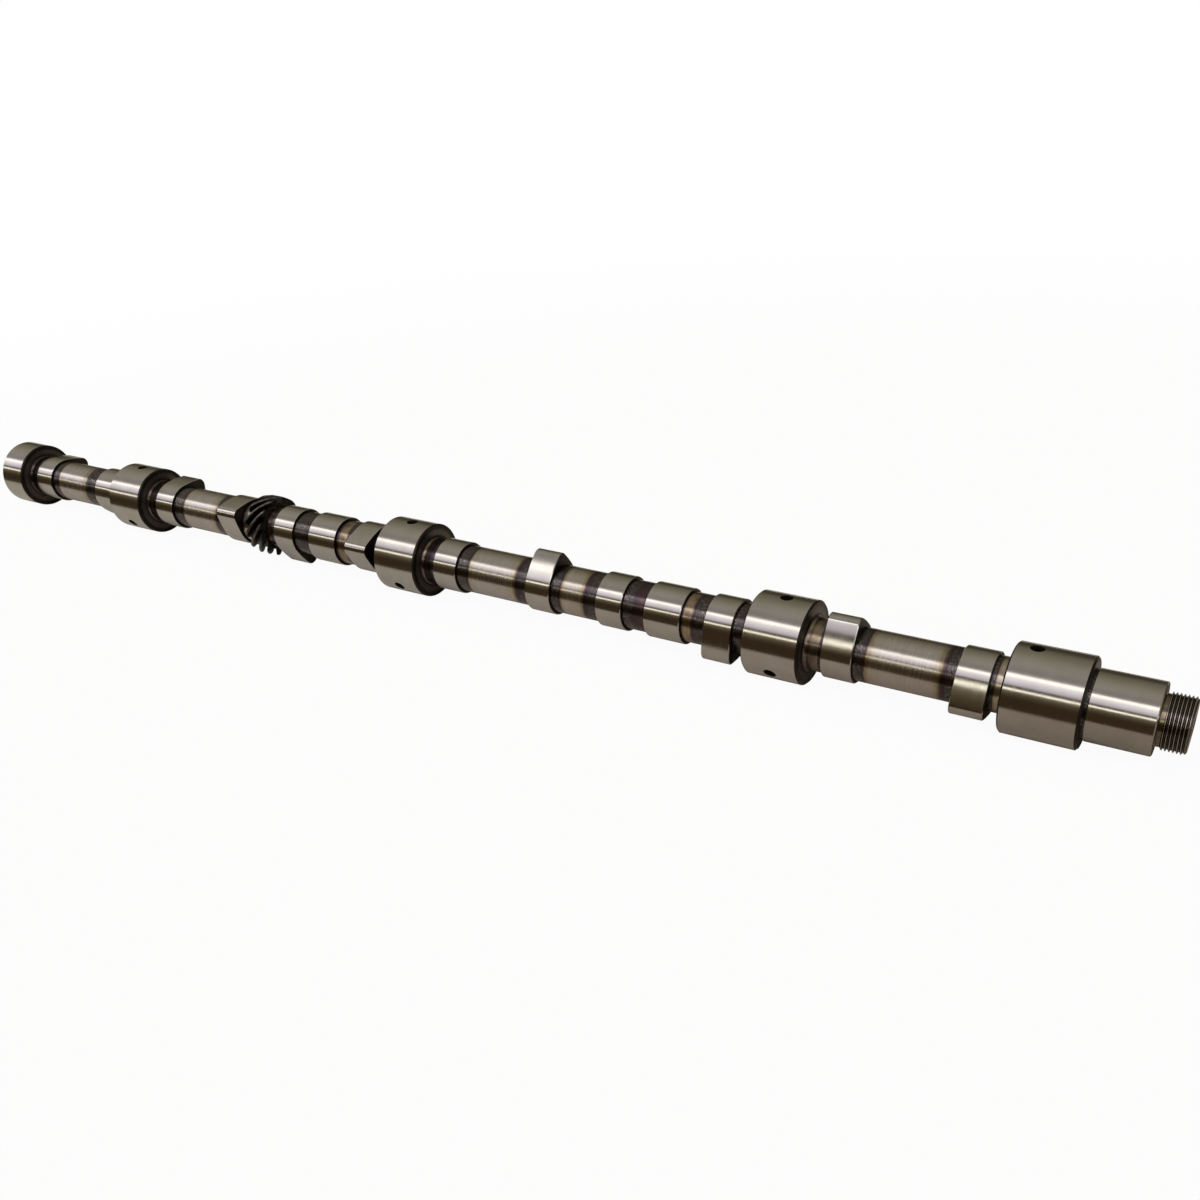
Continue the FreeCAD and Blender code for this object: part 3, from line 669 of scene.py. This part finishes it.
# Strength of the light by its height in degrees, then red, green and blue: 0 is the horizon in
# front, 90 overhead, 180 the horizon behind. The camera sees plain white.
studio = bpy.data.worlds.new("studio")
bpy.context.scene.world = studio
studio.use_nodes = True
tree = studio.node_tree
tree.nodes.clear()
lights = [
    (-180, 0.06, 0.055, 0.04), (0, 0.058, 0.037, 0.019), (9, 0.12, 0.09, 0.05),
    (14, 0.19, 0.145, 0.09), (19.2, 0.27, 0.22, 0.15), (20, 1.0, 0.92, 0.75),
    (21, 3.0, 2.85, 2.45), (23.2, 3.0, 2.85, 2.45), (24.6, 0.8, 0.74, 0.62),
    (25.8, 0.13, 0.11, 0.09), (30.5, 0.14, 0.12, 0.11), (32.5, 0.85, 0.80, 0.83),
    (38, 1.22, 1.12, 1.26), (44, 1.5, 1.41, 1.55), (50, 1.8, 1.71, 1.73),
    (54, 2.7, 2.6, 2.52), (58.5, 2.8, 2.7, 2.62), (61, 1.3, 1.23, 1.19),
    (63.5, 0.52, 0.49, 0.47), (70, 0.42, 0.39, 0.37), (87, 0.52, 0.48, 0.44),
    (107, 0.47, 0.43, 0.35), (127, 0.33, 0.30, 0.23), (140, 0.26, 0.235, 0.17),
    (149, 0.20, 0.175, 0.12), (157, 0.095, 0.085, 0.057), (180, 0.064, 0.058, 0.043),
]
look = add_node(tree, "TexCoord").outputs["Generated"]
split = add_node(tree, "SeparateXYZ", {0: look})
forward = add_node(tree, "Math", {0: split.outputs["Y"], 1: -1.0}, operation="MULTIPLY")
height = add_node(tree, "Math", {0: split.outputs["Z"], 1: forward.outputs[0]},
                  operation="ARCTAN2")
share = add_node(tree, "MapRange", {"Value": height.outputs[0], "From Min": -math.pi,
                                    "From Max": math.pi})
brightest = 3.0
bands = add_node(tree, "ValToRGB", {"Fac": share.outputs[0]}, stops=[
    ((degrees + 180) / 360, (r / brightest, g / brightest, b / brightest, 1.0))
    for degrees, r, g, b in [lights[0], lights[-1]] + lights[1:-1]])
lamps = add_node(tree, "Background", {"Color": bands.outputs[0], "Strength": brightest})
backdrop = add_node(tree, "Background", {"Color": hex_colour("#ffffff"), "Strength": 1.0})
rays = add_node(tree, "LightPath")
shown = add_node(tree, "MixShader", {0: rays.outputs["Is Camera Ray"], 1: lamps.outputs[0],
                                     2: backdrop.outputs[0]})
add_node(tree, "OutputWorld", {"Surface": shown.outputs[0]})

scene = bpy.context.scene
scene.view_settings.view_transform = "Standard"

# The camera is fitted to the shaft's outline in the photograph, and its frame is shifted by a
# twelfth of the frame's width, as the photograph's is.
camera_data = bpy.data.cameras.new("camera")
camera_data.sensor_width, camera_data.lens = 36.0, 35.0787
camera_data.shift_y = 0.08333
camera = bpy.data.objects.new("camera", camera_data)
scene.collection.objects.link(camera)
camera.matrix_world = Matrix((
    (0.85187, -0.22865, 0.47122, 0.0973),
    (0.52251, 0.43336, -0.73430, -0.6273),
    (-0.03632, 0.87173, 0.48863, 0.3340),
    (0.0, 0.0, 0.0, 1.0)))
scene.camera = camera
